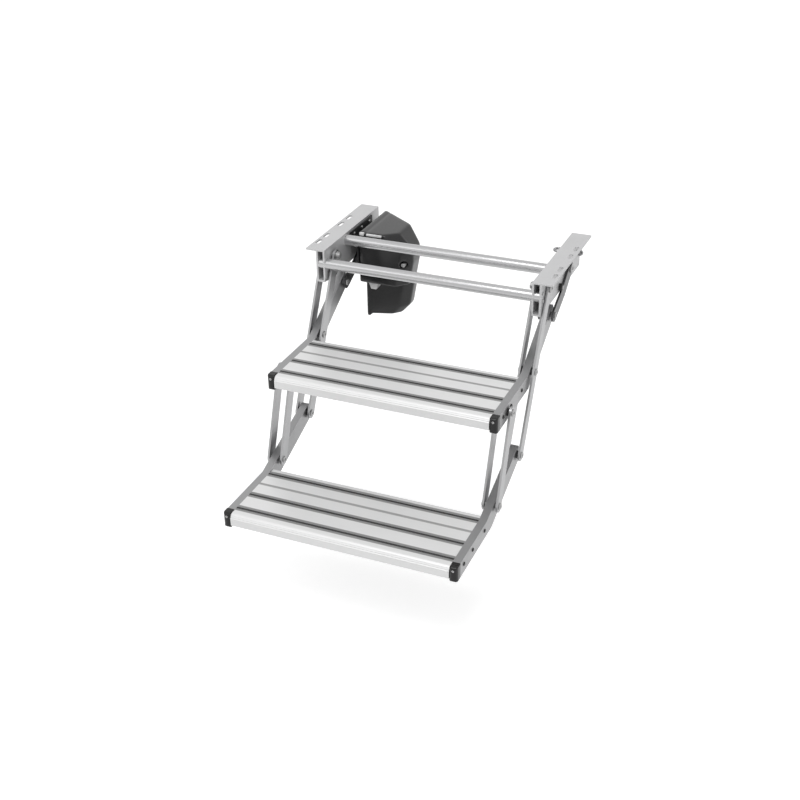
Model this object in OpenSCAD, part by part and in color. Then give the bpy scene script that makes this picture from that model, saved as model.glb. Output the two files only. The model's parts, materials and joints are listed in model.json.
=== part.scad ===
/* [Treads] */
// Width of each tread between its side arms
tread_w = 456; // [400:2:600]
// Depth of each tread from front face to rear edge
tread_depth = 179.6; // [172:0.2:184]
// Height of the front face of each tread
nose_h = 25.2; // [22:0.2:28]
// Depth of the hollow front beam of each tread
nose_d = 16; // [14:0.5:22]
// Thickness of the deck plate
deck_t = 5; // [4.6:0.1:5.2]
// Wall thickness of the hollow front beam
nose_wall = 2.6; // [2:0.1:3.5]
// Height of the rear lip of each tread
lip_h = 20; // [10:0.5:24]
// Width of each dark grip strip
strip_w = 5; // [4:0.1:6]
// Depth of the groove that holds a grip strip
strip_d = 2.2; // [1.5:0.1:2.6]
// First grip strip behind the front face
strip_a = 28.2; // [25:0.2:32]
// Second grip strip behind the front face
strip_b = 79.3; // [76:0.1:82]
// Third grip strip behind the front face
strip_c = 160.3; // [157:0.1:161]
// Plain groove between the second and third strips
plain_groove = 120.9; // [118:0.1:124]
// Pitch of the fine ribs beside each strip
rib_pitch = 2.6; // [2.2:0.1:3]

/* [Arms] */
// Width of each side arm
arm_w = 16; // [14:0.5:18]
// Height of an arm beside its tread
arm_h = 31; // [28:0.5:33]
// Width of the upper arm's rising rear bar
arm_rear_upper = 30; // [28:0.5:32]
// Width of the lower arm's rising rear bar
arm_rear_lower = 34; // [32:0.5:36]
// Depth of the black cap on an arm's front end
cap_d = 21; // [18:0.5:24]
// How far a cap stands above and before its arm
cap_over = 1.6; // [1:0.1:2]

/* [Links] */
// Width of the long link bars and of the front link bars
link_w = 25; // [22:0.5:25]
// Width of the crank bars
crank_w = 28; // [26:0.5:29]
// Thickness of every link plate
plate_t = 4.5; // [3.5:0.1:4.7]
// Pitch of the three equally spaced holes of a long link
link_pitch = 170.15; // [168:0.05:172]
// Diameter of the pivot bolts
bolt_d = 10; // [8:0.5:11]
// Diameter of the crank's shaft
shaft_d = 14; // [12:0.5:15]

/* [Brackets] */
// Length of each chassis bracket
bracket_l = 282.8; // [276:0.4:290]
// Height of the bracket's box below its flange top
box_h = 72; // [70:0.5:72]
// Wall thickness of the box section
box_t = 4; // [3:0.1:4.5]
// Thickness of the top flange
flange_t = 3.5; // [3:0.1:4]
// Width of the flange outside the box section
flange_over = 23.1; // [21:0.1:26]
// Width of each flange slot
slot_w = 8.5; // [7:0.1:9]
// End-to-end length of each flange slot
slot_l = 25; // [20:0.5:26]
// Spacing of the outer pair of slots
slots_outer = 152; // [148:0.5:156]
// Spacing of the inner pair of slots
slots_inner = 71; // [68:0.5:76]
// Outside diameter of both cross tubes
tube_d = 23; // [21:0.2:23]
// Wall thickness of both cross tubes
tube_t = 1.5; // [1.2:0.1:1.6]

/* [Motor box] */
// Height of the upper housing
motor_upper_h = 117; // [112:0.5:122]
// Depth of the lower housing's underside below the flange top
motor_bottom = 207; // [202:0.5:212]
// Width of the upper housing across the vehicle
motor_w = 119; // [114:0.5:124]
// Length of the upper housing along the bracket
motor_l = 152; // [148:0.5:156]

/* [Hidden] */
// Free space between pieces that turn against each other
side_play = 0.3;
// Radial clearance of every turning fit
turn_play = 0.05;
// Clearance between pieces that are fitted and stay still
fit_play = 0.05;
half = tread_w / 2;
tube_r = tube_d / 2;
bolt_r = bolt_d / 2;
shaft_r = shaft_d / 2;
pivot_head_r = bolt_r + 2;
pivot_head_h = 3;
shaft_head_r = shaft_r + 2.5;
shaft_head_h = 3.5;
bush_r = bolt_r + 3;
// Room round the studs in the arms' end holes
open_play = 0.5;
// Space between an arm's side and the link plates beside it
link_space = 4;
in_a = half - link_space - plate_t;
in_b = half - link_space;
arm_out = half + arm_w;
out_a = arm_out + link_space;
out_b = out_a + plate_t;
// The box section stands a little wider than the arms
wall_in = half - 0.7;
wall_out = arm_out + 3;
flange_out = wall_out + flange_over;
slot_x = flange_out - 9.5;
slot_mid = 120;
slot_mid_inner = 117.5;

// Pivot places in side view, [Y, Z]
pivot_a1 = [43, -26];
lean = 26.7;
link_dir = [-sin(lean), -cos(lean)];
pivot_b1 = pivot_a1 + link_pitch * link_dir;
pivot_d2 = pivot_b1 + link_pitch * link_dir;
pivot_b2 = [88.5, -106];
crank_elbow = [150, -77];
pivot_a2 = [196, -44];
pivot_d1 = [-242, -371];
tube_front = [11.2, -33.8];
tube_rear = [109.3, -16.3];

// From a tread's rear edge to the pivot behind it
rear_gap = 33.45;
// Front top corners of the treads, [Y, Z], just above and below their rear pivots
upper_rise = 1.1071;
lower_drop = 6.2;
upper_at = [pivot_b1[0] - rear_gap - tread_depth, pivot_b1[1] + upper_rise];
lower_at = [pivot_d1[0] - rear_gap - tread_depth, pivot_d1[1] - lower_drop];
// The front pivot keeps its place below the upper tread's front edge
c1_inset = 68.5016;
c1_drop = 18.1;
pivot_c1 = [upper_at[0] + c1_inset, upper_at[1] - c1_drop];
// Centre line of the rising bars, from elbow to end
upper_elbow = [-43.5, -186];
upper_end = [106.5, -99.5];
end_w_upper = arm_rear_upper + 3;
elbow_w_lower = arm_rear_lower + 5;
lower_elbow = [-242, -379.5];
lower_end = [-97, -327];

// Colours only tell the pieces apart
col_alu = [0.75, 0.76, 0.78];
col_tread = [0.82, 0.83, 0.84];
col_steel = [0.6, 0.62, 0.64];
col_zinc = [0.7, 0.71, 0.72];
col_black = [0.08, 0.08, 0.09];
col_rubber = [0.12, 0.12, 0.12];
col_grey = [0.75, 0.75, 0.75];

// Moves the whole part so that the left flange's outer slot pair is at the origin
module placed() {
  translate([slot_x, -slot_mid, 0]) children();
}

// Shapes are drawn for the right side; side -1 mirrors them to the left
module sided(side) {
  mirror([side < 0 ? 1 : 0, 0, 0]) children();
}

module both() {
  sided(1) children();
  sided(-1) children();
}

// Side-view outline pushed out along X from x0 to x1
module slab(x0, x1) {
  translate([x0, 0, 0]) rotate([90, 0, 90]) linear_extrude(x1 - x0) children();
}

module rod(x0, x1, at, r) {
  translate([x0, at[0], at[1]]) rotate([0, 90, 0]) cylinder(h = x1 - x0, r = r, $fn = 36);
}

// Low round screw head with a hexagon socket, its seat at x0 and its top towards dir
module screw_head(x0, dir, at, r, h) {
  translate([x0, at[0], at[1]]) rotate([0, 90 * dir, 0]) difference() {
    union() {
      cylinder(h = h * 0.6, r = r, $fn = 28);
      translate([0, 0, h * 0.6]) cylinder(h = h * 0.4, r1 = r, r2 = r * 0.75, $fn = 28);
    }
    translate([0, 0, h * 0.45]) cylinder(h = h, r = r * 0.42, $fn = 6);
  }
}

module hex_nut(x0, dir, at, r, h) {
  translate([x0, at[0], at[1]]) rotate([0, 90 * dir, 0]) cylinder(h = h, r = r, $fn = 6);
}

module bar2d(a, b, w) {
  run = norm(b - a);
  translate(a) rotate(atan2(b[1] - a[1], b[0] - a[0])) {
    translate([0, -w / 2]) square([run, w]);
    circle(d = w, $fn = 40);
    translate([run, 0]) circle(d = w, $fn = 40);
  }
}

module hole2d(at, r) {
  translate(at) circle(r = r, $fn = 36);
}

module bracket_box(side) {
  hole_r = tube_r + fit_play;
  sided(side) {
    difference() {
      translate([wall_in, bracket_l, 0]) rotate([90, 0, 0]) linear_extrude(bracket_l) difference() {
        union() {
          translate([0, -box_h]) square([wall_out - wall_in, box_h]);
          translate([0, -flange_t]) square([flange_out - wall_in, flange_t]);
        }
        translate([box_t, box_t - box_h])
          square([wall_out - wall_in - 2 * box_t, box_h - box_t - flange_t]);
      }
      for (end = [-1, 1]) {
        slot_cut(slot_mid + end * slots_outer / 2);
        slot_cut(slot_mid_inner + end * slots_inner / 2);
      }
      rod(wall_in - 1, wall_out - box_t, tube_front, hole_r);
      rod(wall_in - 1, wall_out - box_t, tube_rear, hole_r);
      rod(wall_in - 1, wall_out + 1, pivot_a1, bolt_r + fit_play);
      rod(wall_in - 1, wall_out + 1, pivot_a2, shaft_r + turn_play);
      for (t = [tube_front, tube_rear], end = [-1, 1])
        rod(wall_out - box_t - 1, wall_out + 1, t + [0, end * screw_off], screw_r + fit_play);
      rod(wall_out - box_t - 1, wall_out + 1, stop_at, screw_r + fit_play);
      if (side > 0)
        rod(wall_in - 1, wall_out + 1, eye_at, eye_r + fit_play);
      if (side < 0)
        for (y = mount_screws)
          rod(wall_in - 1, wall_in + box_t + 1, [y, mount_screw_z], screw_r + fit_play);
      // The inner wall's front lower corner is cut off
      translate([wall_in - 1, 0, -box_h]) rotate([45, 0, 0])
        cube([box_t + 0.5, corner_cut, corner_cut], center = true);
    }
  }
}

module slot_cut(y) {
  run = slot_l - slot_w;
  translate([slot_x, y, -flange_t - 1]) linear_extrude(flange_t + 2) {
    translate([-slot_w / 2, -run / 2]) square([slot_w, run]);
    translate([0, -run / 2]) circle(d = slot_w, $fn = 32);
    translate([0, run / 2]) circle(d = slot_w, $fn = 32);
  }
}

corner_cut = 12;
screw_r = 1.5;
small_head_r = 3.6;
small_head_h = 2.4;
screw_off = 8;
// The stop sits on the upper edge of the crank's lower half
stop_r = 8;
stop_head_r = 4;
// How far the stop stands out past the crank's plate
stop_over = 1;
stop_run = 58;
crank_dir = (crank_elbow - pivot_b2) / norm(crank_elbow - pivot_b2);
crank_up = [-crank_dir[1], crank_dir[0]];
stop_at = pivot_b2 + stop_run * crank_dir + (crank_w / 2 + stop_r + side_play) * crank_up;
eye_at = [bracket_l - 8.8, -40];
eye_r = 4;

module bracket_left() {
  color(col_alu) placed() bracket_box(-1);
}

module bracket_right() {
  color(col_alu) placed() bracket_box(1);
}

module cross_tube(at) {
  reach = wall_out - box_t;
  difference() {
    rod(-reach, reach, at, tube_r);
    rod(-reach - 1, reach + 1, at, tube_r - tube_t);
  }
}

module tube_front() {
  color(col_tread) placed() cross_tube(tube_front);
}

module tube_rear() {
  color(col_tread) placed() cross_tube(tube_rear);
}

plug_l = 14;
module tube_plugs() {
  color(col_black) placed() both() for (t = [tube_front, tube_rear]) difference() {
    rod(wall_out - box_t - plug_l, wall_out - box_t, t, tube_r - tube_t - fit_play);
    for (end = [-1, 1])
      rod(wall_out - box_t - plug_l - 1, wall_out, t + [0, end * screw_off], screw_r + fit_play);
  }
}

module tube_screws() {
  color(col_zinc) placed() both() for (t = [tube_front, tube_rear], end = [-1, 1]) {
    screw_head(wall_out, 1, t + [0, end * screw_off], small_head_r, small_head_h);
    rod(wall_out - box_t - plug_l + 2, wall_out, t + [0, end * screw_off], screw_r);
  }
}

// Washers at the long link's pivot: beside the bracket's walls and under the nut
washer_t = 2;
washer_over = 4;
nut_flange = 2.6;
nut_h = 5.6;
nut_collar = 2.2;
link_head_h = 4;
// Length of bolt that shows past the nut
bolt_past = 0.8;
module link_washers() {
  nut_seat = in_a - side_play - washer_t;
  color(col_zinc) placed() both() for (span = [[in_b + side_play, wall_in],
      [nut_seat, in_a - side_play], [wall_out, out_a - side_play]]) difference() {
    rod(span[0], span[1], pivot_a1, bolt_r + washer_over);
    rod(span[0] - 1, span[1] + 1, pivot_a1, bolt_r + fit_play);
  }
}

module link_bolts() {
  color(col_zinc) placed() both() {
    screw_head(out_b + side_play, 1, pivot_a1, bolt_r + washer_over, link_head_h);
    rod(in_a - side_play - washer_t - nut_h - bolt_past, out_b + side_play, pivot_a1, bolt_r);
  }
}

// Round lock nuts: a flange and a narrower collar round the bolt's end
module link_nuts() {
  seat = in_a - side_play - washer_t;
  color(col_zinc) placed() both() difference() {
    union() {
      rod(seat - nut_flange, seat, pivot_a1, bolt_r + washer_over);
      rod(seat - nut_h, seat - nut_flange, pivot_a1, bolt_r + nut_collar);
    }
    rod(seat - nut_h - 1, seat + 1, pivot_a1, bolt_r + fit_play);
  }
}

module crank_bolt() {
  color(col_zinc) placed() {
    screw_head(out_b + side_play, 1, pivot_a2, shaft_head_r, shaft_head_h);
    rod(in_a - side_play, out_b + side_play, pivot_a2, shaft_r);
    screw_head(in_a - side_play, -1, pivot_a2, shaft_head_r, shaft_head_h);
  }
}

module stop_rubbers() {
  color(col_rubber) placed() both() difference() {
    rod(wall_out, out_b + stop_over, stop_at, stop_r);
    rod(wall_out - 1, out_b + 2, stop_at, screw_r + fit_play);
  }
}

module stop_screws() {
  color(col_zinc) placed() both() {
    screw_head(out_b + stop_over, 1, stop_at, stop_head_r, small_head_h);
    rod(wall_out - box_t, out_b + stop_over, stop_at, screw_r);
  }
}

// Eye bolt through the rear of the right bracket, with its ring inboard
eye_ring = 8.4;
eye_wire = 2.9;
eye_nut_h = 6;
module eye_bolt() {
  ring_x = wall_in - 18 - eye_ring;
  color(col_zinc) placed() {
    translate([ring_x, eye_at[0], eye_at[1]]) rotate_extrude($fn = 36)
      translate([eye_ring, 0]) circle(r = eye_wire, $fn = 16);
    rod(ring_x + eye_ring + 1, wall_out + eye_nut_h + 3, eye_at, eye_r);
  }
}

module eye_nuts() {
  color(col_zinc) placed() for (spot = [[wall_out, 1], [wall_in, -1]]) difference() {
    hex_nut(spot[0], spot[1], eye_at, eye_r + 3.6, eye_nut_h);
    rod(wall_in - eye_nut_h - 1, wall_out + eye_nut_h + 1, eye_at, eye_r + fit_play);
  }
}

// The motor box hangs on the left side, behind the rear tube
box_side = half - 21;
box_front = tube_rear[0] + tube_r + 4.2;
motor_top = -2;
shoulder_z = -35;
waist_z = -66;
upper_floor = motor_top - motor_upper_h;
module at_box() {
  translate([-box_side, box_front, 0]) children();
}

corner_back = 67;
corner_in = 62;
tail_cut = 12;
top_in = 32;
top_back = 88;

// Plan of the upper housing; trim draws its outboard side in
module upper_plan(trim) {
  polygon([
    [0, 0],
    [motor_w - 24 - trim, 0],
    [motor_w - trim, 25],
    [motor_w - trim, corner_back],
    [motor_w - corner_in - trim, motor_l - tail_cut],
    [0, motor_l]
  ]);
}

// Plan of its flat top, which ends in a slanting rear edge
module top_plan() {
  polygon([
    [0, 2],
    [motor_w - corner_in, 2],
    [motor_w - top_in, 25],
    [motor_w - top_in, top_back],
    [20, motor_l - 18],
    [0, motor_l - 2]
  ]);
}

rim_w = 15;
side_screws = [20, 95];
side_screw_z = -80;
recess_at = [motor_w - 17, -67];
recess_r = 7;
recess_deep = 22;
module motor_upper() {
  color(col_black) placed() at_box() difference() {
    hull() {
      translate([0, 0, motor_top - 1]) linear_extrude(1) top_plan();
      translate([0, 0, shoulder_z - 1]) linear_extrude(1) upper_plan(0);
      translate([0, 0, waist_z]) linear_extrude(1) upper_plan(0);
      translate([0, 0, upper_floor]) linear_extrude(1) upper_plan(10);
    }
    // Groove that sets off the rim along the bracket side
    translate([rim_w, -1, motor_top - 2]) cube([3, motor_l + 2, 3]);
    label_bar(fit_play);
    rim_block(fit_play);
    // Recess of the front screw
    rod_y(-1, recess_deep, recess_at, recess_r);
    rod(-1, shaft_in + 1, pivot_a2 - [box_front, 0], shaft_r + 1.5);
    for (y = side_screws)
      rod(-1, side_screw_in + 1, [y, side_screw_z], screw_r + fit_play);
  }
}

shaft_in = 8;
side_screw_in = 6;
module rod_y(y0, y1, at, r) {
  translate([at[0], y1, at[1]]) rotate([90, 0, 0]) cylinder(h = y1 - y0, r = r, $fn = 28);
}

// Plan of the lower housing; trim draws its front and outboard sides in
lower_in = 4;
lower_back = 25;
lower_bevel = 22;
foot_w = 9;
foot_l = 60;
lower_side = 13;
lower_corner = 40;
lower_tail = 62;
lower_tail_in = 60;
lower_rear = 18;
base_trim = 31;
module lower_plan(trim) {
  polygon([
    [lower_in, lower_back],
    [motor_w - 30 - trim, lower_back + 22 - trim * 0.2],
    [motor_w - lower_side - trim, lower_back + lower_corner - trim * 0.2],
    [motor_w - lower_side - trim, motor_l - lower_tail - trim * 0.2],
    [motor_w - lower_tail_in - trim * 0.6, motor_l - lower_rear - trim * 0.4],
    [lower_in, motor_l - 14 - trim * 0.2]
  ]);
}

module motor_lower() {
  color(col_black) placed() at_box() difference() {
    union() {
      hull() {
        translate([0, 0, upper_floor - 1]) linear_extrude(1) lower_plan(0);
        translate([0, 0, lower_bevel - motor_bottom]) linear_extrude(1) lower_plan(11);
        translate([0, 0, -motor_bottom]) linear_extrude(1) lower_plan(base_trim);
      }
      // Foot lip along the bracket side
      translate([lower_in, lower_back, -motor_bottom - 5]) cube([foot_w, foot_l, 7]);
    }
    translate([lower_in + foot_w, lower_back - 1, -motor_bottom - 1])
      cube([2, 3, motor_bottom + upper_floor - 3]);
  }
}

// Folded plate that hangs the motor box from the bracket's inner wall
mount_t = 3;
mount_l = 115;
mount_leg = 18;
mount_deep = 92;
mount_screw_step = 40;
mount_screws = [for (k = [0:2]) box_front + 18 + k * mount_screw_step];
mount_screw_z = -flange_t - 10;
module motor_mount() {
  gap = wall_in - box_side;
  top_z = -flange_t - 1.5;
  web_z = top_z - mount_leg;
  color(col_black) placed() difference() {
    translate([-wall_in, box_front + mount_l, 0]) rotate([90, 0, 0]) linear_extrude(mount_l)
      polygon([
        [0, top_z],
        [mount_t, top_z],
        [mount_t, web_z],
        [gap, web_z],
        [gap, -mount_deep],
        [gap - mount_t, -mount_deep],
        [gap - mount_t, web_z - mount_t],
        [0, web_z - mount_t]
      ]);
    rod(-wall_in - 1, -box_side + 1, pivot_a2, shaft_r + turn_play);
    for (y = mount_screws)
      rod(-wall_in - 1, -wall_in + mount_t + 1, [y, mount_screw_z], screw_r + fit_play);
    for (y = side_screws)
      rod(-box_side - mount_t - 1, -box_side + 1, [box_front + y, side_screw_z], screw_r + fit_play);
  }
}

module motor_screws() {
  color(col_zinc) placed() {
    for (y = mount_screws) {
      screw_head(-wall_in + mount_t, 1, [y, mount_screw_z], small_head_r, small_head_h);
      rod(-wall_in - box_t, -wall_in + mount_t, [y, mount_screw_z], screw_r);
    }
    for (y = side_screws) {
      screw_head(-box_side - mount_t, -1, [box_front + y, side_screw_z], small_head_r, small_head_h);
      rod(-box_side - mount_t, -box_side + side_screw_in, [box_front + y, side_screw_z], screw_r);
    }
  }
}

// Light strip let into the top edge of the housing's front
label_size = [36, 8, 4];
label_gap = 4.5;
label_out = 1;
module label_bar(grow) {
  translate([rim_w + label_gap - grow, -label_out, motor_top - label_size[2] - 1.5 - grow])
    cube(label_size + [2 * grow, grow, 2 * grow]);
}

// Light block that closes the front end of the rim
rim_block_size = [10, 6, 6];
module rim_block(grow) {
  translate([rim_w - rim_block_size[0] - 1 - grow, -1.5, motor_top - rim_block_size[2] - grow])
    cube(rim_block_size + [2 * grow, grow, 2 * grow]);
}

module motor_label_bar() {
  color(col_grey) placed() at_box() {
    label_bar(0);
    rim_block(0);
  }
}

// Light wedge-shaped plug under the upper housing, before the lower housing's slanted front
plug_at = 31.5;
plug_top = 12;
plug_foot = 6;
plug_h = 15;
plug_deep = 22;
plug_in = 3;
module motor_plug() {
  color(col_grey) placed() at_box()
    translate([plug_at, lower_back + plug_in, upper_floor]) rotate([90, 0, 0]) linear_extrude(plug_deep)
      polygon([[-plug_top, 0], [plug_top, 0], [plug_foot, -plug_h], [-plug_foot, -plug_h]]);
}

module link_plate(side, x0) {
  color(col_steel) placed() sided(side) slab(x0, x0 + plate_t) difference() {
    bar2d(pivot_a1, pivot_d2, link_w);
    hole2d(pivot_a1, bolt_r + turn_play);
    hole2d(pivot_b1, bolt_r + fit_play);
    hole2d(pivot_d2, bolt_r + fit_play);
  }
}

module link_left_inner() {
  link_plate(-1, in_a);
}

module link_left_outer() {
  link_plate(-1, out_a);
}

module link_right_inner() {
  link_plate(1, in_a);
}

module link_right_outer() {
  link_plate(1, out_a);
}

// Bolts that carry the two steps on the long links
module step_bolts() {
  color(col_zinc) placed() both() for (p = [pivot_b1, pivot_d2]) {
    screw_head(out_b, 1, p, pivot_head_r, pivot_head_h);
    rod(in_a, out_b, p, bolt_r);
    screw_head(in_a, -1, p, pivot_head_r, pivot_head_h);
  }
}

module step_bushes() {
  color(col_black) placed() both() for (p = [pivot_b1, pivot_d2]) bush_pair(p);
}

// Spacer rings between the link plates and the arm
module bush_pair(p) {
  difference() {
    rod(in_b, half - side_play, p, bush_r);
    rod(in_b - 1, half, p, bolt_r + fit_play);
  }
  difference() {
    rod(arm_out + side_play, out_a, p, bush_r);
    rod(arm_out, out_a + 1, p, bolt_r + fit_play);
  }
}

module crank_plate(side, x0) {
  hub_play = side < 0 ? fit_play : turn_play;
  color(col_steel) placed() sided(side) slab(x0, x0 + plate_t) difference() {
    union() {
      bar2d(pivot_a2, crank_elbow, crank_w);
      bar2d(crank_elbow, pivot_b2, crank_w);
    }
    hole2d(pivot_a2, shaft_r + hub_play);
    hole2d(pivot_b2, bolt_r + fit_play);
  }
}

module crank_left_inner() {
  crank_plate(-1, in_a);
}

module crank_left_outer() {
  crank_plate(-1, out_a);
}

module crank_right_inner() {
  crank_plate(1, in_a);
}

module crank_right_outer() {
  crank_plate(1, out_a);
}

// Output shaft of the motor box, through the left bracket
module crank_shaft() {
  color(col_zinc) placed() sided(-1) {
    rod(box_side - shaft_in, out_b, pivot_a2, shaft_r);
    screw_head(out_b, 1, pivot_a2, shaft_head_r, shaft_head_h);
  }
}

// Short studs at a pivot that is held by one side only
module stud_set(p) {
  screw_head(out_b, 1, p, pivot_head_r, pivot_head_h);
  rod(arm_out + side_play, out_b, p, bolt_r);
  screw_head(in_a, -1, p, pivot_head_r, pivot_head_h);
  rod(in_a, half - side_play, p, bolt_r);
}

module crank_studs() {
  color(col_zinc) placed() both() stud_set(pivot_b2);
}

module front_plate(side, x0) {
  color(col_steel) placed() sided(side) slab(x0, x0 + plate_t) difference() {
    bar2d(pivot_c1, pivot_d1, link_w);
    hole2d(pivot_c1, bolt_r + fit_play);
    hole2d(pivot_d1, bolt_r + fit_play);
  }
}

module front_left_inner() {
  front_plate(-1, in_a);
}

module front_left_outer() {
  front_plate(-1, out_a);
}

module front_right_inner() {
  front_plate(1, in_a);
}

module front_right_outer() {
  front_plate(1, out_a);
}

module front_bolts() {
  color(col_zinc) placed() both() {
    screw_head(out_b, 1, pivot_c1, pivot_head_r, pivot_head_h);
    rod(in_a, out_b, pivot_c1, bolt_r);
    screw_head(in_a, -1, pivot_c1, pivot_head_r, pivot_head_h);
  }
}

module front_bushes() {
  color(col_black) placed() both() bush_pair(pivot_c1);
}

module front_studs() {
  color(col_zinc) placed() both() stud_set(pivot_d1);
}

module tread_profile() {
  difference() {
    polygon([
      [0, -nose_h],
      [0, -9],
      [1.4, -8],
      [1.4, -6],
      [3.2, -4.2],
      [3.2, -3],
      [6, -0.8],
      [9, 0],
      [tread_depth - 1.5, 0],
      [tread_depth, -1.5],
      [tread_depth, -lip_h],
      [tread_depth - nose_wall, -lip_h],
      [tread_depth - nose_wall, -deck_t],
      [nose_d, -deck_t],
      [nose_d, -nose_h]
    ]);
    translate([nose_wall + 1.4, -nose_h + nose_wall])
      square([nose_d - 2 * nose_wall - 1.4, nose_h - nose_wall - deck_t - 3]);
    for (s = [strip_a, strip_b, strip_c]) {
      translate([s - strip_w / 2, -strip_d]) square([strip_w, strip_d + 1]);
      for (end = [-1, 1], k = [1, 2])
        translate([s + end * (strip_w / 2 + (k - 0.4) * rib_pitch) - 0.6, -0.7])
          square([1.2, 2]);
    }
    translate([plain_groove - 1.7, -1]) square([3.4, 2]);
  }
}

module tread_body(at) {
  color(col_tread) placed() slab(-half, half) translate(at) tread_profile();
}

module strip_set(at) {
  color(col_rubber) placed() slab(-half, half) translate(at)
    for (s = [strip_a, strip_b, strip_c]) polygon([
      [s - strip_w / 2 + fit_play, fit_play - strip_d],
      [s + strip_w / 2 - fit_play, fit_play - strip_d],
      [s + strip_w / 2 - fit_play, 0.2],
      [s + strip_w / 5, 0.7],
      [s - strip_w / 5, 0.7],
      [s - strip_w / 2 + fit_play, 0.2]
    ]);
}

end_bevel = 3;
// Side outline of an arm: a level front bar and a bar that rises to the rear
module arm_outline(at, elbow, end, w0, w1) {
  dir = (end - elbow) / norm(end - elbow);
  up = [-dir[1], dir[0]];
  top_z = at[1];
  low_z = at[1] - arm_h;
  top_run = (top_z - elbow[1] - up[1] * w0 / 2) / dir[1];
  low_run = (low_z - elbow[1] + up[1] * w0 / 2) / dir[1];
  polygon([
    [at[0] + cap_d - cap_over, low_z],
    [at[0] + cap_d - cap_over, top_z],
    elbow + up * w0 / 2 + dir * top_run,
    end + up * w1 / 2 - dir * end_bevel,
    end + up * (w1 / 2 - end_bevel),
    end - up * (w1 / 2 - end_bevel),
    end - up * w1 / 2 - dir * end_bevel,
    elbow - up * w0 / 2 + dir * low_run
  ]);
}

arm_screw_at = [37, 84, tread_depth - 29.6];
arm_screw_z = -12.4;
arm_screw_r = 2.4;
arm_head_r = 4;
arm_head_h = 2;
module arm_holes(at) {
  for (d = arm_screw_at)
    hole2d(at + [d, arm_screw_z], arm_screw_r + fit_play);
}

module upper_arm(side) {
  color(col_alu) placed() sided(side) slab(half, arm_out) difference() {
    arm_outline(upper_at, upper_elbow, upper_end, arm_rear_upper, end_w_upper);
    arm_holes(upper_at);
    hole2d(pivot_b1, bolt_r + turn_play);
    hole2d(pivot_b2, bolt_r + open_play);
    hole2d(pivot_c1, bolt_r + turn_play);
  }
}

module lower_arm(side) {
  color(col_alu) placed() sided(side) slab(half, arm_out) difference() {
    arm_outline(lower_at, lower_elbow, lower_end, elbow_w_lower, arm_rear_lower);
    arm_holes(lower_at);
    hole2d(pivot_d2, bolt_r + turn_play);
    hole2d(pivot_d1, bolt_r + open_play);
  }
}

// Caps: the plan has a small inner and a large outer corner, the side a rounded top and foot
cap_h = 33;
cap_w = arm_w + 0.6;
cap_screw_r = 2.5;
cap_screw_z = -6.5;
cap_in_r = 6.5;
cap_out_r = 9;
cap_top_r = 7;
cap_foot_r = 6;
// Length of a cap's straight rear end
cap_tail = 2;
module cap_plan() {
  hull() {
    translate([cap_in_r, cap_in_r]) circle(r = cap_in_r, $fn = 32);
    translate([cap_w - cap_out_r, cap_out_r]) circle(r = cap_out_r, $fn = 32);
    translate([0, cap_d - cap_tail]) square([cap_w, cap_tail]);
  }
}

module cap_side() {
  hull() {
    translate([cap_top_r, cap_h - cap_top_r]) circle(r = cap_top_r, $fn = 32);
    translate([cap_foot_r, cap_foot_r]) circle(r = cap_foot_r, $fn = 32);
    translate([cap_d - cap_tail, 0]) square([cap_tail, cap_h]);
  }
}

module cap_set(at) {
  color(col_black) placed() both() difference() {
    translate([0, at[0] - cap_over, at[1] + cap_over - cap_h]) intersection() {
      slab(half + fit_play, half + cap_w) cap_side();
      translate([half, 0, 0]) linear_extrude(cap_h) cap_plan();
    }
    translate([half + arm_w / 2, at[0] - cap_over - 1, at[1] + cap_screw_z]) rotate([-90, 0, 0])
      cylinder(h = cap_d + 2, r = cap_screw_r + 0.1, $fn = 24);
  }
}

module cap_screw_set(at) {
  color(col_zinc) placed() both()
    translate([half + arm_w / 2, at[0] - cap_over + 1, at[1] + cap_screw_z]) rotate([-90, 0, 0])
      difference() {
        cylinder(h = cap_d - 1.2, r = cap_screw_r, $fn = 24);
        translate([0, 0, -1]) cylinder(h = 2.2, r = cap_screw_r / 2, $fn = 6);
      }
}

module arm_screw_set(at) {
  color(col_zinc) placed() both() for (d = arm_screw_at) {
    screw_head(arm_out, 1, at + [d, arm_screw_z], arm_head_r, arm_head_h);
    rod(half, arm_out, at + [d, arm_screw_z], arm_screw_r);
  }
}

module upper_tread() {
  tread_body(upper_at);
}

module upper_strips() {
  strip_set(upper_at);
}

module upper_arm_left() {
  upper_arm(-1);
}

module upper_arm_right() {
  upper_arm(1);
}

module upper_caps() {
  cap_set(upper_at);
}

module upper_cap_screws() {
  cap_screw_set(upper_at);
}

module upper_arm_screws() {
  arm_screw_set(upper_at);
}

module lower_tread() {
  tread_body(lower_at);
}

module lower_strips() {
  strip_set(lower_at);
}

module lower_arm_left() {
  lower_arm(-1);
}

module lower_arm_right() {
  lower_arm(1);
}

module lower_caps() {
  cap_set(lower_at);
}

module lower_cap_screws() {
  cap_screw_set(lower_at);
}

module lower_arm_screws() {
  arm_screw_set(lower_at);
}

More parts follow.
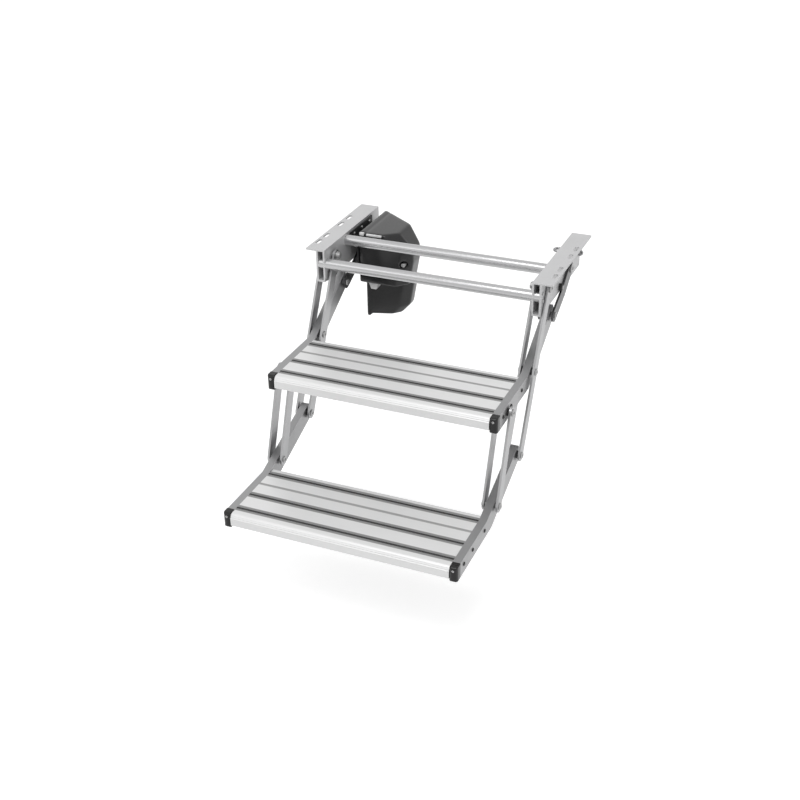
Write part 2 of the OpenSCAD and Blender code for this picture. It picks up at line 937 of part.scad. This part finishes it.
bracket_left();
bracket_right();
tube_front();
tube_rear();
tube_plugs();
tube_screws();
link_bolts();
link_nuts();
link_washers();
crank_bolt();
stop_rubbers();
stop_screws();
eye_bolt();
eye_nuts();
motor_mount();
motor_upper();
motor_lower();
motor_screws();
motor_label_bar();
motor_plug();
link_left_inner();
link_left_outer();
link_right_inner();
link_right_outer();
step_bolts();
step_bushes();
crank_left_inner();
crank_left_outer();
crank_right_inner();
crank_right_outer();
crank_shaft();
crank_studs();
front_left_inner();
front_left_outer();
front_right_inner();
front_right_outer();
front_bolts();
front_bushes();
front_studs();
upper_tread();
upper_strips();
upper_arm_left();
upper_arm_right();
upper_caps();
upper_cap_screws();
upper_arm_screws();
lower_tread();
lower_strips();
lower_arm_left();
lower_arm_right();
lower_caps();
lower_cap_screws();
lower_arm_screws();
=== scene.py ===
import json
import math

import bpy
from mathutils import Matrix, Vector


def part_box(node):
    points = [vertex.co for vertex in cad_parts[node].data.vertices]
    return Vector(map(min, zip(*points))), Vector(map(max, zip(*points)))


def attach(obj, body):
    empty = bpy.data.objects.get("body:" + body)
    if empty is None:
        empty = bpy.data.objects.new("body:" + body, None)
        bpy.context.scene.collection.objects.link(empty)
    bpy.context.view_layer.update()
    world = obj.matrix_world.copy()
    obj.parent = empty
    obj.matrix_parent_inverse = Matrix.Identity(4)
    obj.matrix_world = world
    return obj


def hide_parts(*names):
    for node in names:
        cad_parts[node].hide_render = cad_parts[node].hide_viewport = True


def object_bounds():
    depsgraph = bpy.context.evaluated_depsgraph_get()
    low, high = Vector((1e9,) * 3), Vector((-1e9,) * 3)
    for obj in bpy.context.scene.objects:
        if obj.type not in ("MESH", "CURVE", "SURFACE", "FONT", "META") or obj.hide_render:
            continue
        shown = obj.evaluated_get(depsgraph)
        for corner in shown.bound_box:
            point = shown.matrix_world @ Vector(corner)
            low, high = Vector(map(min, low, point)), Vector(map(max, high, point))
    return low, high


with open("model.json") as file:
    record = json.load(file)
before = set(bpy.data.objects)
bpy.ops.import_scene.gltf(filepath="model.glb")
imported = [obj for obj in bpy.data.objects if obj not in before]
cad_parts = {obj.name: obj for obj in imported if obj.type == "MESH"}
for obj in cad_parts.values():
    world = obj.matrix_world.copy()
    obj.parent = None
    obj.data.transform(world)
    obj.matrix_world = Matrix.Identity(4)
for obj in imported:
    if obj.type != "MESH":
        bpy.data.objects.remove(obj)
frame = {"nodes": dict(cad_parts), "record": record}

cad_low, cad_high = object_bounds()


# Camera: it stands where the photograph was taken, in front of the step and to
# the right of it, and looks down on both treads.
camera_place = (1.1316, -2.27292, 0.98932)
camera_turn = [math.radians(angle) for angle in (60.7587, 0.8213, 22.9210)]
camera_lens = 55.65
bpy.ops.object.select_all(action="DESELECT")
bpy.ops.object.camera_add(location=camera_place, rotation=camera_turn)
camera = bpy.context.object
camera.name = "studio_camera"
camera.data.sensor_width = 36
camera.data.lens = camera_lens
bpy.context.scene.camera = camera
bpy.context.scene.view_settings.view_transform = "Standard"


# Studio: a pale floor a step's height below the lower tread and a soft room
# round it, which lights most from above and in front. By eye, through anything
# clear and in bare metal the room looks white and the floor is lifted to white.
brightest_way = (-0.22, -0.42, 0.88)
room_dim = 0.22
room_full = 1.0
floor_size = 60
floor_drop = 0.19
floor_grey = 0.66
floor_glow = 0.6
world = bpy.data.worlds.new("studio_room")
world.use_nodes = True
bpy.context.scene.world = world
room = world.node_tree
room_light = room.nodes["Background"]
room_light.inputs["Color"].default_value = (1, 1, 1, 1)
room_way = room.nodes.new("ShaderNodeTexCoord")
room_slope = room.nodes.new("ShaderNodeVectorMath")
room_slope.operation = "DOT_PRODUCT"
room_slope.inputs[1].default_value = brightest_way
room_level = room.nodes.new("ShaderNodeMapRange")
room_level.interpolation_type = "SMOOTHSTEP"
room_level.inputs["From Min"].default_value = 0.1
room_level.inputs["From Max"].default_value = 0.95
room_level.inputs["To Min"].default_value = room_dim
room_level.inputs["To Max"].default_value = room_full
room_ray = room.nodes.new("ShaderNodeLightPath")
room_seen = room.nodes.new("ShaderNodeMath")
room_seen.operation = "MAXIMUM"
room_bare = room.nodes.new("ShaderNodeMath")
room_bare.operation = "MAXIMUM"
room_mix = room.nodes.new("ShaderNodeMix")
room_mix.data_type = "FLOAT"
room_mix.inputs["B"].default_value = room_full
room.links.new(room_way.outputs["Generated"], room_slope.inputs[0])
room.links.new(room_slope.outputs["Value"], room_level.inputs["Value"])
room.links.new(room_ray.outputs["Is Camera Ray"], room_seen.inputs[0])
room.links.new(room_ray.outputs["Is Transmission Ray"], room_seen.inputs[1])
room.links.new(room_seen.outputs[0], room_bare.inputs[0])
room.links.new(room_ray.outputs["Is Glossy Ray"], room_bare.inputs[1])
room.links.new(room_bare.outputs[0], room_mix.inputs["Factor"])
room.links.new(room_level.outputs["Result"], room_mix.inputs["A"])
room.links.new(room_mix.outputs["Result"], room_light.inputs["Strength"])

bpy.ops.mesh.primitive_plane_add(size=floor_size, location=(0.26, 0, cad_low.z - floor_drop))
floor = bpy.context.object
floor.name = "studio_floor"
floor_paint = bpy.data.materials.new("floor_paint")
floor_paint.use_nodes = True
floor_tree = floor_paint.node_tree
floor_shader = floor_tree.nodes["Principled BSDF"]
floor_shader.inputs["Base Color"].default_value = (floor_grey, floor_grey, floor_grey, 1)
floor_shader.inputs["Roughness"].default_value = 0.9
floor_shader.inputs["Specular IOR Level"].default_value = 0.1
floor_shader.inputs["Emission Color"].default_value = (1, 1, 1, 1)
floor_ray = floor_tree.nodes.new("ShaderNodeLightPath")
floor_seen = floor_tree.nodes.new("ShaderNodeMath")
floor_seen.operation = "MAXIMUM"
floor_bare = floor_tree.nodes.new("ShaderNodeMath")
floor_bare.operation = "MAXIMUM"
floor_lift = floor_tree.nodes.new("ShaderNodeMath")
floor_lift.operation = "MULTIPLY"
floor_lift.inputs[1].default_value = floor_glow
floor_tree.links.new(floor_ray.outputs["Is Camera Ray"], floor_seen.inputs[0])
floor_tree.links.new(floor_ray.outputs["Is Transmission Ray"], floor_seen.inputs[1])
floor_tree.links.new(floor_seen.outputs[0], floor_bare.inputs[0])
floor_tree.links.new(floor_ray.outputs["Is Glossy Ray"], floor_bare.inputs[1])
floor_tree.links.new(floor_bare.outputs[0], floor_lift.inputs[0])
floor_tree.links.new(floor_lift.outputs[0], floor_shader.inputs["Emission Strength"])
floor.data.materials.append(floor_paint)

middle = Vector((0.26, -0.2, -0.2))


def area_lamp(name, place, size, watts):
    bpy.ops.object.light_add(type="AREA", location=place)
    lamp = bpy.context.object
    lamp.name = name
    lamp.data.shape = "SQUARE"
    lamp.data.size = size
    lamp.data.energy = watts
    lamp.rotation_euler = (middle - Vector(place)).to_track_quat("-Z", "Y").to_euler()


area_lamp("lamp_front_left", (-1.6, -2.4, 2.2), size=1.6, watts=7)
area_lamp("lamp_right", (2.3, 2.1, 1.1), size=1.6, watts=8)
area_lamp("lamp_above", (0.3, -1.4, 2.6), size=1.5, watts=29)


# Brackets: bent from aluminium, a box section below a slotted flange.
# Each is extruded along the vehicle, so the drawn streaks run that way.
def new_group(name, inputs, outputs):
    group = bpy.data.node_groups.new(name, "ShaderNodeTree")
    for title, kind, value in inputs:
        socket = group.interface.new_socket(title, in_out="INPUT", socket_type=kind)
        socket.default_value = value
    for title, kind in outputs:
        group.interface.new_socket(title, in_out="OUTPUT", socket_type=kind)
    return group


# Long fine streaks: noise drawn out along one axis, with a broad cloud under it
streaks = new_group(
    "drawn_streaks",
    [("Stretch", "NodeSocketVector", (1, 1, 1)), ("Contrast", "NodeSocketFloat", 0.1)],
    [("Tone", "NodeSocketFloat"), ("Height", "NodeSocketFloat")],
)
g_in = streaks.nodes.new("NodeGroupInput")
g_out = streaks.nodes.new("NodeGroupOutput")
coords = streaks.nodes.new("ShaderNodeTexCoord")
stretch = streaks.nodes.new("ShaderNodeVectorMath")
stretch.operation = "MULTIPLY"
fine = streaks.nodes.new("ShaderNodeTexNoise")
fine.inputs["Scale"].default_value = 1.0
fine.inputs["Detail"].default_value = 4
cloud = streaks.nodes.new("ShaderNodeTexNoise")
cloud.inputs["Scale"].default_value = 14
cloud.inputs["Detail"].default_value = 3
blend = streaks.nodes.new("ShaderNodeMath")
blend.operation = "ADD"
centred = streaks.nodes.new("ShaderNodeMath")
centred.operation = "SUBTRACT"
centred.inputs[1].default_value = 1.0
scaled = streaks.nodes.new("ShaderNodeMath")
scaled.operation = "MULTIPLY"
lifted = streaks.nodes.new("ShaderNodeMath")
lifted.operation = "ADD"
lifted.inputs[1].default_value = 1.0
streaks.links.new(coords.outputs["Object"], stretch.inputs[0])
streaks.links.new(g_in.outputs["Stretch"], stretch.inputs[1])
streaks.links.new(stretch.outputs[0], fine.inputs["Vector"])
streaks.links.new(coords.outputs["Object"], cloud.inputs["Vector"])
streaks.links.new(fine.outputs["Fac"], blend.inputs[0])
streaks.links.new(cloud.outputs["Fac"], blend.inputs[1])
streaks.links.new(blend.outputs[0], centred.inputs[0])
streaks.links.new(centred.outputs[0], scaled.inputs[0])
streaks.links.new(g_in.outputs["Contrast"], scaled.inputs[1])
streaks.links.new(scaled.outputs[0], lifted.inputs[0])
streaks.links.new(lifted.outputs[0], g_out.inputs["Tone"])
streaks.links.new(fine.outputs["Fac"], g_out.inputs["Height"])

# Painted edge highlight: a mask where the rounded normal leaves the flat one; the metals lighten
# their colour there
edges = new_group(
    "painted_edge_highlight",
    [("Radius", "NodeSocketFloat", 0.0008)],
    [("Mask", "NodeSocketFloat")],
)
e_in = edges.nodes.new("NodeGroupInput")
e_out = edges.nodes.new("NodeGroupOutput")
round_normal = edges.nodes.new("ShaderNodeBevel")
round_normal.samples = 4
flat_normal = edges.nodes.new("ShaderNodeNewGeometry")
alike = edges.nodes.new("ShaderNodeVectorMath")
alike.operation = "DOT_PRODUCT"
edge_range = edges.nodes.new("ShaderNodeMapRange")
edge_range.inputs["From Min"].default_value = 0.985
edge_range.inputs["From Max"].default_value = 0.8
edges.links.new(e_in.outputs["Radius"], round_normal.inputs["Radius"])
edges.links.new(round_normal.outputs["Normal"], alike.inputs[0])
edges.links.new(flat_normal.outputs["Normal"], alike.inputs[1])
edges.links.new(alike.outputs["Value"], edge_range.inputs["Value"])
edges.links.new(edge_range.outputs["Result"], e_out.inputs["Mask"])


def metal(name, colour, rough, stretch_by, contrast=0.12, bump=0.12, metallic=1.0, edge=1.25):
    made = bpy.data.materials.new(name)
    made.use_nodes = True
    tree = made.node_tree
    shader = tree.nodes["Principled BSDF"]
    shader.inputs["Metallic"].default_value = metallic
    grain = tree.nodes.new("ShaderNodeGroup")
    grain.node_tree = streaks
    grain.inputs["Stretch"].default_value = stretch_by
    grain.inputs["Contrast"].default_value = contrast
    edge_highlight_mask = tree.nodes.new("ShaderNodeGroup")
    edge_highlight_mask.node_tree = edges
    tint = tree.nodes.new("ShaderNodeVectorMath")
    tint.operation = "SCALE"
    tint.inputs[0].default_value = colour
    # Painted highlight: along the edges the colour is scaled up by the edge gain
    bright = tree.nodes.new("ShaderNodeVectorMath")
    bright.operation = "SCALE"
    bright.inputs["Scale"].default_value = edge
    mix = tree.nodes.new("ShaderNodeMix")
    mix.data_type = "RGBA"
    rough_span = tree.nodes.new("ShaderNodeMapRange")
    rough_span.inputs["From Min"].default_value = 0.2
    rough_span.inputs["From Max"].default_value = 0.8
    rough_span.inputs["To Min"].default_value = rough - 0.04
    rough_span.inputs["To Max"].default_value = rough + 0.07
    relief = tree.nodes.new("ShaderNodeBump")
    relief.inputs["Strength"].default_value = bump
    relief.inputs["Distance"].default_value = 0.0002
    tree.links.new(grain.outputs["Tone"], tint.inputs["Scale"])
    tree.links.new(tint.outputs[0], bright.inputs[0])
    tree.links.new(tint.outputs[0], mix.inputs["A"])
    tree.links.new(bright.outputs[0], mix.inputs["B"])
    tree.links.new(edge_highlight_mask.outputs["Mask"], mix.inputs["Factor"])
    tree.links.new(mix.outputs["Result"], shader.inputs["Base Color"])
    tree.links.new(grain.outputs["Height"], rough_span.inputs["Value"])
    tree.links.new(rough_span.outputs["Result"], shader.inputs["Roughness"])
    tree.links.new(grain.outputs["Height"], relief.inputs["Height"])
    tree.links.new(relief.outputs["Normal"], shader.inputs["Normal"])
    return made


body_of_node = {
    node: body for body, nodes in frame["record"]["behaviour"]["bodies"].items() for node in nodes
}


# A copy of a CAD piece with its loose triangles merged; faces are joined where
# they differ by less than the angle given
def merged_copy(node, flat_angle=None):
    piece = bpy.data.objects.new(node + "_finish", frame["nodes"][node].data.copy())
    bpy.context.collection.objects.link(piece)
    bpy.ops.object.select_all(action="DESELECT")
    piece.select_set(True)
    bpy.context.view_layer.objects.active = piece
    bpy.ops.object.mode_set(mode="EDIT")
    bpy.ops.mesh.select_all(action="SELECT")
    bpy.ops.mesh.remove_doubles(threshold=1e-5)
    if flat_angle:
        bpy.ops.mesh.dissolve_limited(angle_limit=math.radians(flat_angle))
    bpy.ops.object.mode_set(mode="OBJECT")
    return piece


# The copy gets its material and stands in for the CAD piece
def dress(piece, node, material):
    piece.data.materials.clear()
    piece.data.materials.append(material)
    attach(piece, body_of_node[node])
    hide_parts(node)


# A cut or drawn piece: its edges are broken by a small bevel
def rounded(node, material, width, segments=2, angle=35, smooth=32):
    piece = merged_copy(node, flat_angle=0.6)
    soften = piece.modifiers.new("broken_edges", "BEVEL")
    soften.width = width
    soften.segments = segments
    soften.limit_method = "ANGLE"
    soften.angle_limit = math.radians(angle)
    soften.use_clamp_overlap = True
    bpy.ops.object.modifier_apply(modifier="broken_edges")
    bpy.ops.object.shade_smooth_by_angle(angle=math.radians(smooth))
    even = piece.modifiers.new("even_normals", "WEIGHTED_NORMAL")
    even.mode = "FACE_AREA"
    even.weight = 100
    even.keep_sharp = True
    bpy.ops.object.modifier_apply(modifier="even_normals")
    dress(piece, node, material)


along_vehicle = (900, 12, 900)
bracket_metal = metal("satin_bracket", (0.56, 0.56, 0.565), 0.42, along_vehicle, metallic=0.4)
for node in ("bracket_left", "bracket_right"):
    rounded(node, bracket_metal, 0.0007)


# Cross tubes: bright drawn aluminium, plugged at the ends inside the brackets.
# Screws through the outer walls hold the plugs.
small_edge = 0.0003
across_vehicle = (3, 40, 40)
tube_metal = metal(
    "bright_tube", (0.47, 0.47, 0.475), 0.24, across_vehicle, contrast=0.05, bump=0.0, metallic=0.9
)
for node in ("tube_front", "tube_rear"):
    rounded(node, tube_metal, small_edge, segments=1)


def plastic(name, colour, rough, grain_scale=900, bump=0.25, gloss=0.45):
    made = bpy.data.materials.new(name)
    made.use_nodes = True
    tree = made.node_tree
    shader = tree.nodes["Principled BSDF"]
    shader.inputs["Specular IOR Level"].default_value = gloss
    place = tree.nodes.new("ShaderNodeTexCoord")
    grain = tree.nodes.new("ShaderNodeTexNoise")
    grain.inputs["Scale"].default_value = grain_scale
    grain.inputs["Detail"].default_value = 2
    mottle = tree.nodes.new("ShaderNodeTexNoise")
    mottle.inputs["Scale"].default_value = 22
    tint = tree.nodes.new("ShaderNodeMapRange")
    tint.inputs["To Min"].default_value = 0.8
    tint.inputs["To Max"].default_value = 1.25
    colour_scale = tree.nodes.new("ShaderNodeVectorMath")
    colour_scale.operation = "SCALE"
    colour_scale.inputs[0].default_value = colour
    rough_span = tree.nodes.new("ShaderNodeMapRange")
    rough_span.inputs["To Min"].default_value = rough - 0.06
    rough_span.inputs["To Max"].default_value = rough + 0.08
    relief = tree.nodes.new("ShaderNodeBump")
    relief.inputs["Strength"].default_value = bump
    relief.inputs["Distance"].default_value = 0.0001
    tree.links.new(place.outputs["Object"], grain.inputs["Vector"])
    tree.links.new(place.outputs["Object"], mottle.inputs["Vector"])
    tree.links.new(mottle.outputs["Fac"], tint.inputs["Value"])
    tree.links.new(tint.outputs["Result"], colour_scale.inputs["Scale"])
    tree.links.new(colour_scale.outputs[0], shader.inputs["Base Color"])
    tree.links.new(mottle.outputs["Fac"], rough_span.inputs["Value"])
    tree.links.new(rough_span.outputs["Result"], shader.inputs["Roughness"])
    tree.links.new(grain.outputs["Fac"], relief.inputs["Height"])
    tree.links.new(relief.outputs["Normal"], shader.inputs["Normal"])
    return made


black_plastic = plastic("black_moulding", (0.02, 0.02, 0.021), 0.3, bump=0.12)
bolt_metal = metal("zinc_bolt", (0.4, 0.4, 0.4), 0.42, (300, 300, 300), contrast=0.1, bump=0.05)
rounded("tube_plugs", black_plastic, small_edge)
rounded("tube_screws", bolt_metal, small_edge)


# Pivot bolts, nuts and washers: zinc plated steel, slightly mottled. They run
# through brackets, links and arms and are the axles of the linkage.
for node in ("link_bolts", "link_nuts", "link_washers", "crank_bolt", "crank_shaft"):
    rounded(node, bolt_metal, 0.0004)
for node in ("step_bolts", "front_bolts", "crank_studs", "front_studs", "stop_screws"):
    rounded(node, bolt_metal, small_edge)


# Rubber stops on the brackets, where the cranks rest when the step is out.
# They are moulded in black rubber, each held by a screw.
rubber = plastic("black_rubber", (0.018, 0.018, 0.018), 0.7, grain_scale=500, bump=0.4)
rounded("stop_rubbers", rubber, 0.0012, segments=3)


# Eye bolt at the rear of the right bracket: cast steel, darker than the rest,
# with a nut on each side of the bracket.
eye_metal = metal("cast_eye", (0.32, 0.32, 0.325), 0.2, (260, 260, 260), contrast=0.25, bump=0.2)
rounded("eye_bolt", eye_metal, 0.0002)
rounded("eye_nuts", eye_metal, 0.0004)


# Motor box: two glossy black mouldings on a folded plate, which is screwed to the
# inner wall of the left bracket. The plate's black is painted shade: it keeps the
# deep gap between the housing and the bracket dark.
# Painted shade: the plate is coloured black for the shade in the gap where it sits
mount_shade_black = plastic("mount_black_painted_shade", (0.02, 0.02, 0.021), 0.5, grain_scale=1400, bump=0.3)
rounded("motor_mount", mount_shade_black, 0.0005)
box_plastic = plastic("glossy_black_housing", (0.009, 0.009, 0.0094), 0.2, bump=0.02, gloss=0.42)


# A moulding: the copy is meshed evenly and smoothed, which rounds every edge
def moulded(node, material, grid, passes, smooth=60):
    piece = merged_copy(node)
    even = piece.modifiers.new("even_mesh", "REMESH")
    even.mode = "VOXEL"
    even.voxel_size = grid
    bpy.ops.object.modifier_apply(modifier="even_mesh")
    soft = piece.modifiers.new("soft_edges", "SMOOTH")
    soft.factor = 0.5
    soft.iterations = passes
    bpy.ops.object.modifier_apply(modifier="soft_edges")
    bpy.ops.object.shade_smooth_by_angle(angle=math.radians(smooth))
    dress(piece, node, material)


box_grid = 0.0014
box_passes = 60
moulded("motor_upper", box_plastic, box_grid, box_passes)
moulded("motor_lower", box_plastic, box_grid, box_passes)
rounded("motor_screws", bolt_metal, small_edge)


# Housing screw: zinc plated steel, turned deep into the round recess in the upper
# housing's front, with a raised head and a round socket.
screw_radius = 0.0048
screw_length = 0.015
screw_place = (0.1556, 0.0195, -0.067)
head_chamfer, head_rise = 0.0012, 0.0011
head_rim = 0.0014
socket_slope, socket_depth = 0.0004, 0.0016
bpy.ops.object.select_all(action="DESELECT")
bpy.ops.mesh.primitive_cylinder_add(
    vertices=32, radius=screw_radius, depth=screw_length,
    location=screw_place, rotation=(math.radians(90), 0, 0),
)
front_screw = bpy.context.object
front_screw.name = "housing_screw"
bpy.ops.object.transform_apply(location=True, rotation=True, scale=True)
bpy.ops.object.mode_set(mode="EDIT")
bpy.ops.mesh.select_all(action="DESELECT")
bpy.ops.object.mode_set(mode="OBJECT")
for face in front_screw.data.polygons:
    face.select = face.normal.y < -0.9
bpy.ops.object.mode_set(mode="EDIT")
bpy.ops.mesh.inset(thickness=head_chamfer, depth=head_rise)
bpy.ops.mesh.inset(thickness=head_rim, depth=0)
bpy.ops.mesh.inset(thickness=socket_slope, depth=-socket_depth)
bpy.ops.object.mode_set(mode="OBJECT")
bpy.ops.object.shade_smooth_by_angle(angle=math.radians(30))
front_screw.data.materials.append(bolt_metal)
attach(front_screw, "chassis")


# Label bar and plug: pale grey mouldings. The bar is let into the top edge of the
# upper housing's front and the plug is set under that housing.
grey_plastic = plastic("pale_moulding", (0.66, 0.66, 0.66), 0.45)
rounded("motor_label_bar", grey_plastic, 0.0006)
rounded("motor_plug", grey_plastic, 0.0006)


# Links and cranks: flat bars of zinc plated steel with round ends, in pairs that
# hold the arms between them. The cranks' colour is painted shade, darker than the
# links' for the shade under the brackets, with a stronger painted edge highlight.
link_metal = metal("zinc_bar", (0.39, 0.39, 0.395), 0.34, (160, 160, 160), contrast=0.12, bump=0.05)
# Painted shade and highlight: the links' zinc made darker, with brighter edges
crank_shaded_metal = metal(
    "crank_bar_painted_shade", (0.11, 0.11, 0.113), 0.32, (160, 160, 160), contrast=0.14, bump=0.05, edge=1.8
)
for group, bar_metal in (("link", link_metal), ("crank", crank_shaded_metal), ("front", link_metal)):
    for side in ("left", "right"):
        for layer in ("inner", "outer"):
            rounded(f"{group}_{side}_{layer}", bar_metal, 0.0006)
for node in ("step_bushes", "front_bushes"):
    rounded(node, black_plastic, small_edge)


# Treads: one aluminium extrusion each, with a hollow front beam, a stepped nose
# and three grooves, which hold dark grip strips. Fine ribs run along both sides
# of each strip. The rib bands and the plain groove between the last two strips get
# painted shade: their colour is darkened for the shade that falls in the grooves.
strip_middles = (0.0282, 0.0793, 0.1603)
strip_reach = 0.0092
groove_middle = 0.1209
groove_reach = 0.0036
groove_painted_shade = 0.8
rib_pitch = 0.0013
deck_skin = 0.0024
band_blur = 0.0004
band_shade_tone = 0.42
bands = new_group(
    "ribbed_bands",
    [("Front", "NodeSocketFloat", 0.0), ("Top", "NodeSocketFloat", 0.0)],
    [("Mask", "NodeSocketFloat"), ("Ribs", "NodeSocketFloat")],
)
b_in = bands.nodes.new("NodeGroupInput")
b_out = bands.nodes.new("NodeGroupOutput")
band_place = bands.nodes.new("ShaderNodeTexCoord")
band_axes = bands.nodes.new("ShaderNodeSeparateXYZ")
bands.links.new(band_place.outputs["Object"], band_axes.inputs[0])
behind = bands.nodes.new("ShaderNodeMath")
behind.operation = "SUBTRACT"
bands.links.new(band_axes.outputs["Y"], behind.inputs[0])
bands.links.new(b_in.outputs["Front"], behind.inputs[1])
below = bands.nodes.new("ShaderNodeMath")
below.operation = "SUBTRACT"
bands.links.new(b_in.outputs["Top"], below.inputs[0])
bands.links.new(band_axes.outputs["Z"], below.inputs[1])
on_top = bands.nodes.new("ShaderNodeMath")
on_top.operation = "LESS_THAN"
on_top.inputs[1].default_value = deck_skin
bands.links.new(below.outputs[0], on_top.inputs[0])
together = None
# Painted shade mask: a band each side of every strip and, a little weaker, the plain groove, on the
# deck only
bands_across = [(middle_of_strip, strip_reach, 1.0) for middle_of_strip in strip_middles]
bands_across.append((groove_middle, groove_reach, groove_painted_shade))
for band_middle, reach, shade_strength in bands_across:
    apart = bands.nodes.new("ShaderNodeMath")
    apart.operation = "SUBTRACT"
    apart.inputs[1].default_value = band_middle
    span = bands.nodes.new("ShaderNodeMath")
    span.operation = "ABSOLUTE"
    inside = bands.nodes.new("ShaderNodeMapRange")
    inside.inputs["From Min"].default_value = reach + band_blur
    inside.inputs["From Max"].default_value = reach - band_blur
    inside.inputs["To Max"].default_value = shade_strength
    bands.links.new(behind.outputs[0], apart.inputs[0])
    bands.links.new(apart.outputs[0], span.inputs[0])
    bands.links.new(span.outputs[0], inside.inputs["Value"])
    if together is None:
        together = inside.outputs["Result"]
    else:
        total = bands.nodes.new("ShaderNodeMath")
        total.operation = "ADD"
        bands.links.new(together, total.inputs[0])
        bands.links.new(inside.outputs["Result"], total.inputs[1])
        together = total.outputs[0]
band_mask = bands.nodes.new("ShaderNodeMath")
band_mask.operation = "MULTIPLY"
bands.links.new(together, band_mask.inputs[0])
bands.links.new(on_top.outputs[0], band_mask.inputs[1])
bands.links.new(band_mask.outputs[0], b_out.inputs["Mask"])
rib_wave = bands.nodes.new("ShaderNodeMath")
rib_wave.operation = "SINE"
rib_turns = bands.nodes.new("ShaderNodeMath")
rib_turns.operation = "MULTIPLY"
rib_turns.inputs[1].default_value = math.tau / rib_pitch
rib_height = bands.nodes.new("ShaderNodeMath")
rib_height.operation = "MULTIPLY"
bands.links.new(behind.outputs[0], rib_turns.inputs[0])
bands.links.new(rib_turns.outputs[0], rib_wave.inputs[0])
bands.links.new(rib_wave.outputs[0], rib_height.inputs[0])
bands.links.new(band_mask.outputs[0], rib_height.inputs[1])
bands.links.new(rib_height.outputs[0], b_out.inputs["Ribs"])

for step in ("upper", "lower"):
    tread_low, tread_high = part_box(f"{step}_tread")
    tread_metal = metal(
        f"{step}_tread_aluminium", (0.74, 0.74, 0.74), 0.4, (8, 900, 900),
        contrast=0.05, bump=0.08, metallic=0.3, edge=1.0,
    )
    tree = tread_metal.node_tree
    shader = tree.nodes["Principled BSDF"]
    ribs = tree.nodes.new("ShaderNodeGroup")
    ribs.node_tree = bands
    ribs.inputs["Front"].default_value = tread_low[1]
    ribs.inputs["Top"].default_value = tread_high[2]
    # Painted shade: the colour darkens inside the rib bands and the plain groove
    shade = tree.nodes.new("ShaderNodeMapRange")
    shade.inputs["To Min"].default_value = 1.0
    shade.inputs["To Max"].default_value = band_shade_tone
    darkened = tree.nodes.new("ShaderNodeVectorMath")
    darkened.operation = "SCALE"
    plain_colour = shader.inputs["Base Color"].links[0].from_socket
    tree.links.new(ribs.outputs["Mask"], shade.inputs["Value"])
    tree.links.new(plain_colour, darkened.inputs[0])
    tree.links.new(shade.outputs["Result"], darkened.inputs["Scale"])
    tree.links.new(darkened.outputs[0], shader.inputs["Base Color"])
    rounded(f"{step}_tread", tread_metal, 0.00012, segments=1)


# Grip strips: dark rubber cords pressed into the treads' three grooves, a little
# proud of the ribs beside them.
strip_rubber = plastic("grip_rubber", (0.02, 0.02, 0.02), 0.65, grain_scale=500, bump=0.4)
for node in ("upper_strips", "lower_strips"):
    rounded(node, strip_rubber, small_edge)


# Side arms: aluminium bars with rounded edges, held to the ends of the treads by
# three blackened screws each.
arm_edge = 0.0018
# Painted highlight: a strong edge gain gives the bright line along the arms' edges
arm_metal = metal(
    "satin_arm", (0.34, 0.34, 0.344), 0.36, (900, 14, 14),
    contrast=0.1, bump=0.08, metallic=0.8, edge=1.9,
)
screw_metal = metal(
    "blackened_screw", (0.05, 0.05, 0.05), 0.22, (300, 300, 300), contrast=0.1, bump=0.05
)
for step in ("upper", "lower"):
    rounded(f"{step}_arm_left", arm_metal, arm_edge, segments=3)
    rounded(f"{step}_arm_right", arm_metal, arm_edge, segments=3)
    rounded(f"{step}_arm_screws", screw_metal, small_edge)


# End caps: glossy black mouldings pushed on the arms' front ends, where one screw
# holds each.
cap_grid = 0.0007
cap_passes = 24
cap_plastic = plastic("glossy_black_cap", (0.006, 0.006, 0.006), 0.16, bump=0.02, gloss=0.35)
for step in ("upper", "lower"):
    moulded(f"{step}_caps", cap_plastic, cap_grid, cap_passes)
    rounded(f"{step}_cap_screws", bolt_metal, small_edge)
